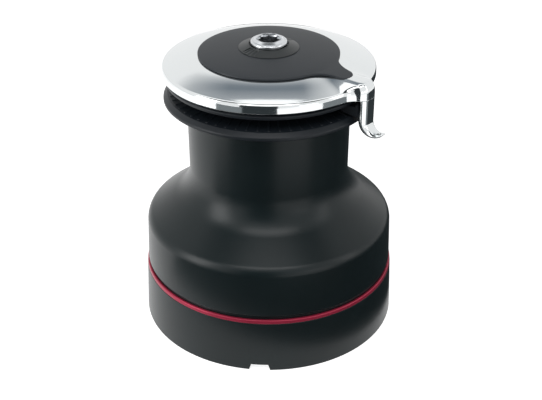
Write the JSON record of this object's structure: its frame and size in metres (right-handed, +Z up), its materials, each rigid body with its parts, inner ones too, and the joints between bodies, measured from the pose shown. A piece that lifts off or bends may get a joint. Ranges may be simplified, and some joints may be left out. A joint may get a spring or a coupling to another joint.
{
  "type": "self-tailing winch",
  "caption": "Two-speed self-tailing deck winch: flared drum with rope jaws, polished stripper arm with a hanging finger, gear case base and star handle socket.",
  "frame": {"origin": "on the drum's axis at the deck, the centre of the base's eight bolt holes", "axes": "+Z up along the drum's axis to the handle socket; -Y is the front that the picture shows, +X to the right"},
  "size_m": [0.28, 0.28, 0.3183],
  "materials": {
    "deck_anodised": "satin",
    "drum_anodised": "satin",
    "red_anodised": "anodised satin",
    "cast_aluminium": "blasted",
    "bronze": "machined",
    "gear_steel": "machined",
    "stainless": "polished",
    "chrome": "mirror",
    "jaw_plastic": "fine grained",
    "cover_plastic": "satin",
    "nut_plastic": "semi-gloss",
    "bearing_plastic": "smooth",
    "peeler_plastic": "smooth"
  },
  "bodies": {
    "base": {"base_plate": "cast_aluminium", "base_skirt": "deck_anodised", "trim_ring": "red_anodised", "gear_housing": "deck_anodised", "housing_screws": "stainless", "center_stem": "cast_aluminium", "stem_screws": "stainless", "final_shaft_pin": "stainless", "idler_pin": "stainless", "thrust_washers": "bearing_plastic", "spindle_foot_bush": "bronze", "spindle_bushes": "bronze", "bearing_spacer": "bearing_plastic", "arm_support": "cast_aluminium", "arm_support_screws": "stainless", "stripper_arm": "chrome", "arm_screws": "stainless", "peeler": "peeler_plastic", "top_cover": "cover_plastic", "cover_nut": "nut_plastic"},
    "drum": {"drum": "drum_anodised", "ring_gear": "bronze", "ring_gear_screws": "stainless", "upper_jaw": "jaw_plastic", "jaw_screws": "stainless", "jaw_wave_spring": "stainless"},
    "lower_jaw": {"lower_jaw": "jaw_plastic"},
    "spindle": {"spindle": "stainless", "first_drive_gear": "gear_steel", "drive_key": "gear_steel", "drive_circlip": "gear_steel"},
    "idler": {"idler_gear": "gear_steel"},
    "final_pinion": {"final_pinion": "gear_steel", "pinion_bushes": "bronze", "first_pawl_spring_a": "stainless", "first_pawl_spring_b": "stainless", "second_pawl_spring_a": "stainless", "second_pawl_spring_b": "stainless"},
    "first_speed_gear": {"first_speed_gear": "bronze"},
    "second_speed_gear": {"second_speed_gear": "bronze"},
    "first_pawl_a": {"first_pawl_a": "gear_steel"},
    "first_pawl_b": {"first_pawl_b": "gear_steel"},
    "second_pawl_a": {"second_pawl_a": "gear_steel"},
    "second_pawl_b": {"second_pawl_b": "gear_steel"},
    "lower_bearing": {"lower_bearing_cage": "bearing_plastic", "lower_bearing_rollers": "bearing_plastic"},
    "upper_bearing": {"upper_bearing_cage": "bearing_plastic", "upper_bearing_rollers": "bearing_plastic"}
  },
  "joints": [
    {"name": "drum_spin", "type": "hinge", "parent": "base", "child": "drum", "pos_m": [0, 0, 0.1], "axis": [0, 0, 1], "continuous": true},
    {"name": "jaw_float", "type": "slide", "parent": "drum", "child": "lower_jaw", "axis": [0, 0, 1], "range_m": [-0.004, 0], "stiffness_N_per_m": 8000, "springref_m": 0.003, "deforming": ["jaw_wave_spring"]},
    {"name": "spindle_spin", "type": "hinge", "parent": "base", "child": "spindle", "pos_m": [0, 0, 0.1], "axis": [0, 0, 1], "continuous": true},
    {"name": "idler_spin", "type": "hinge", "parent": "base", "child": "idler", "pos_m": [0.02735, 0.02565, 0.02], "axis": [0, 0, 1], "continuous": true},
    {"name": "pinion_spin", "type": "hinge", "parent": "base", "child": "final_pinion", "pos_m": [0, 0.066, 0.05], "axis": [0, 0, 1], "continuous": true},
    {"name": "first_gear_spin", "type": "hinge", "parent": "base", "child": "first_speed_gear", "pos_m": [0, 0.066, 0.02], "axis": [0, 0, 1], "continuous": true},
    {"name": "second_gear_spin", "type": "hinge", "parent": "base", "child": "second_speed_gear", "pos_m": [0, 0.066, 0.042], "axis": [0, 0, 1], "continuous": true},
    {"name": "first_pawl_a_swing", "type": "hinge", "parent": "final_pinion", "child": "first_pawl_a", "pos_m": [0.0175, 0.066, 0.02], "axis": [0, 0, 1], "range_deg": [0, 14], "stiffness_Nm_per_rad": 0.01, "springref_deg": -20.05, "deforming": ["first_pawl_spring_a"]},
    {"name": "first_pawl_b_swing", "type": "hinge", "parent": "final_pinion", "child": "first_pawl_b", "pos_m": [-0.0175, 0.066, 0.02], "axis": [0, 0, 1], "range_deg": [0, 14], "stiffness_Nm_per_rad": 0.01, "springref_deg": -20.05, "deforming": ["first_pawl_spring_b"]},
    {"name": "second_pawl_a_swing", "type": "hinge", "parent": "final_pinion", "child": "second_pawl_a", "pos_m": [0.0175, 0.066, 0.042], "axis": [0, 0, 1], "range_deg": [-14, 0], "stiffness_Nm_per_rad": 0.01, "springref_deg": -20.05, "deforming": ["second_pawl_spring_a"]},
    {"name": "second_pawl_b_swing", "type": "hinge", "parent": "final_pinion", "child": "second_pawl_b", "pos_m": [-0.0175, 0.066, 0.042], "axis": [0, 0, 1], "range_deg": [-14, 0], "stiffness_Nm_per_rad": 0.01, "springref_deg": -20.05, "deforming": ["second_pawl_spring_b"]},
    {"name": "lower_bearing_spin", "type": "hinge", "parent": "base", "child": "lower_bearing", "pos_m": [0, 0, 0.1245], "axis": [0, 0, 1], "continuous": true},
    {"name": "upper_bearing_spin", "type": "hinge", "parent": "base", "child": "upper_bearing", "pos_m": [0, 0, 0.2342], "axis": [0, 0, 1], "continuous": true}
  ],
  "couplings": [
    {"joint": "spindle_spin", "follows": "drum_spin", "ratio": 7.5},
    {"joint": "pinion_spin", "follows": "drum_spin", "ratio": 5},
    {"joint": "first_gear_spin", "follows": "drum_spin", "ratio": 5},
    {"joint": "second_gear_spin", "follows": "drum_spin", "ratio": -1.5},
    {"joint": "idler_spin", "follows": "drum_spin", "ratio": -11.25},
    {"joint": "lower_bearing_spin", "follows": "drum_spin", "ratio": 0.53596},
    {"joint": "upper_bearing_spin", "follows": "drum_spin", "ratio": 0.53596}
  ]
}
